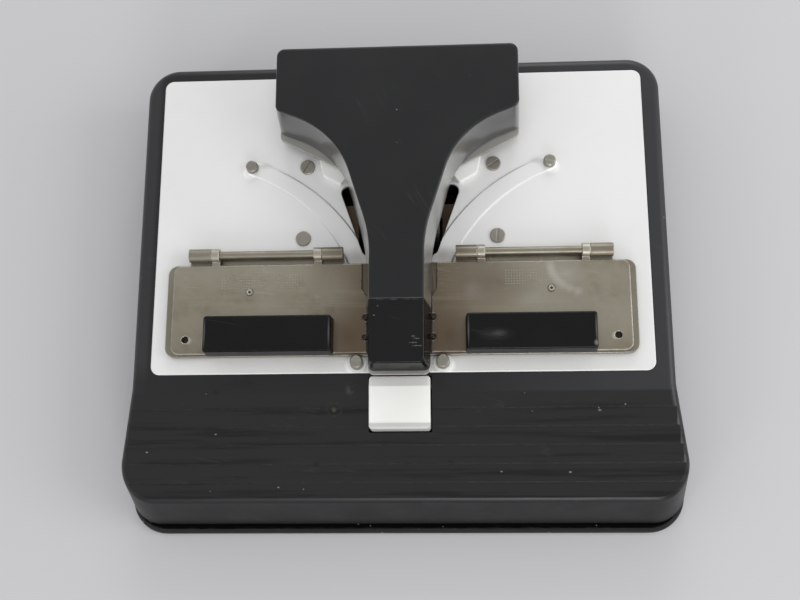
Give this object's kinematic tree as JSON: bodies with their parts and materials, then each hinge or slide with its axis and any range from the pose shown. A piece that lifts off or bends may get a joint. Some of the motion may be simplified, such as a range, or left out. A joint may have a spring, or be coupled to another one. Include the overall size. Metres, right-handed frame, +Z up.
{
  "type": "film splicer",
  "caption": "Desk film splicer: ribbed black base, silver deck, swinging film carriers with hinged clamps, T-shaped press arm, white motor key and abrasive wheels.",
  "frame": {"origin": "middle of the base at the table", "axes": "+X to the user's right, +Y to the rear, +Z up"},
  "size_m": [0.2058, 0.175, 0.055],
  "materials": {
    "black_moulding": "fine moulded texture, worn satin",
    "gloss_black": "glossy black moulding",
    "white_plastic": "smooth white moulding",
    "grey_plastic": "plain grey moulding",
    "deck_sheet": "satin silver",
    "nickel": "aged nickel plate with patina",
    "bright_steel": "turned steel",
    "zinc_steel": "plain plated sheet",
    "blackened_steel": "oil-blackened sheet",
    "brass": "turned brass",
    "abrasive": "fine grit on steel",
    "rubber": "soft black rubber",
    "cell_jacket": "plain printed sleeve, no text"
  },
  "bodies": {
    "base": {"arm_hinge_bracket": "zinc_steel", "arm_hinge_pin": "bright_steel", "base_housing": "black_moulding", "base_tray": "black_moulding", "battery_box": "grey_plastic", "battery_cells": "cell_jacket", "battery_contacts": "zinc_steel", "battery_springs": "bright_steel", "bracket_screws": "zinc_steel", "carrier_pivots": "bright_steel", "deck_plate": "deck_sheet", "deck_screws": "bright_steel", "dust_guides": "white_plastic", "front_stop_pins": "bright_steel", "hinge_washers": "brass", "key_pivot_pin": "bright_steel", "key_return_spring": "bright_steel", "motor_bracket": "blackened_steel", "motor_can": "zinc_steel", "motor_end_cap": "grey_plastic", "pin_washers": "white_plastic", "rear_stop_pins": "bright_steel", "rubber_feet": "rubber", "spindle_bushes": "brass", "splice_anvil": "bright_steel", "switch_body": "grey_plastic", "switch_leaf": "brass", "tray_screws": "zinc_steel"},
    "left_carrier": {"carrier_plate_left": "nickel", "registration_pins_left": "bright_steel", "hinge_rod_left": "nickel"},
    "right_carrier": {"carrier_plate_right": "nickel", "registration_pins_right": "bright_steel", "hinge_rod_right": "nickel"},
    "left_clamp": {"clamp_plate_left": "nickel", "clamp_rivet_left": "nickel", "grip_pad_left": "gloss_black"},
    "right_clamp": {"clamp_plate_right": "nickel", "clamp_rivet_right": "nickel", "grip_pad_right": "gloss_black"},
    "press_arm": {"arm_cover": "black_moulding", "arm_tip_cap": "gloss_black", "arm_plate": "zinc_steel", "arm_cover_screws": "zinc_steel", "pressure_shoe": "bright_steel"},
    "key": {"splice_key": "white_plastic"},
    "wheel_set": {"motor_spindle": "bright_steel", "abrasive_wheel_left": "abrasive", "abrasive_wheel_right": "abrasive"},
    "door": {"battery_door": "black_moulding"}
  },
  "joints": [
    {"name": "left_carrier_swing", "type": "hinge", "parent": "base", "child": "left_carrier", "pos_m": [-0.0768, -0.0208, 0.036], "axis": [0, 0, 1], "range_deg": [0, 45.5]},
    {"name": "right_carrier_swing", "type": "hinge", "parent": "base", "child": "right_carrier", "pos_m": [0.0768, -0.0208, 0.036], "axis": [0, 0, -1], "range_deg": [0, 45.5]},
    {"name": "left_clamp_lift", "type": "hinge", "parent": "left_carrier", "child": "left_clamp", "pos_m": [-0.048, 0.0102, 0.0386], "axis": [-1, 0, 0], "range_deg": [0, 100]},
    {"name": "right_clamp_lift", "type": "hinge", "parent": "right_carrier", "child": "right_clamp", "pos_m": [0.048, 0.0102, 0.0386], "axis": [-1, 0, 0], "range_deg": [0, 100]},
    {"name": "arm_lift", "type": "hinge", "parent": "base", "child": "press_arm", "pos_m": [0, 0.0763, 0.042], "axis": [-1, 0, 0], "range_deg": [0, 45]},
    {"name": "key_press", "type": "hinge", "parent": "base", "child": "key", "pos_m": [0, -0.0369, 0.0295], "axis": [1, 0, 0], "range_deg": [0, 5], "stiffness_Nm_per_rad": 0.25, "springref_deg": -3.44, "deforming": ["key_return_spring"]},
    {"name": "wheel_spin", "type": "hinge", "parent": "base", "child": "wheel_set", "pos_m": [0, 0.0283, 0.0235], "axis": [1, 0, 0], "continuous": true},
    {"name": "battery_door_slide", "type": "slide", "parent": "base", "child": "door", "axis": [0, 1, 0], "range_m": [0, 0.042]}
  ]
}
